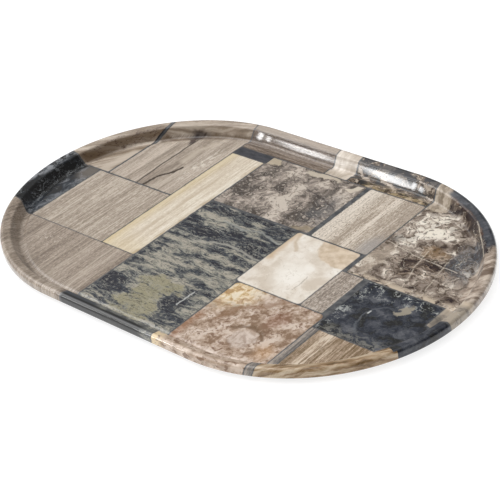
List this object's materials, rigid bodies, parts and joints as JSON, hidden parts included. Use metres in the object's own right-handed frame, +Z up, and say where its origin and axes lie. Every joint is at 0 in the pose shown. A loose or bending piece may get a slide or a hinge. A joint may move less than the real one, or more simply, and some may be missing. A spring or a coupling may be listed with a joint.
{
  "type": "serving tray",
  "caption": "Long serving tray with half-round ends, pressed from one printed sheet, with a low wall, a rolled-over rim and a wire in the curled edge.",
  "frame": {"origin": "middle of the tray on the table it stands on, at the height of the foot's underside", "axes": "+X along the tray, +Y across it, +Z up"},
  "size_m": [0.4598, 0.3, 0.012],
  "materials": {
    "printed_tinplate": "printed tinplate under clear gloss varnish: a patchwork of pale and brown wood-grained stone, dark veined stone and cream stone, with blue-grey seams; plain dark lacquer underneath",
    "edge_wire_steel": "drawn steel wire, bare"
  },
  "bodies": {
    "root": {"pressed_pan": "printed_tinplate", "edge_wire": "edge_wire_steel"}
  },
  "joints": []
}
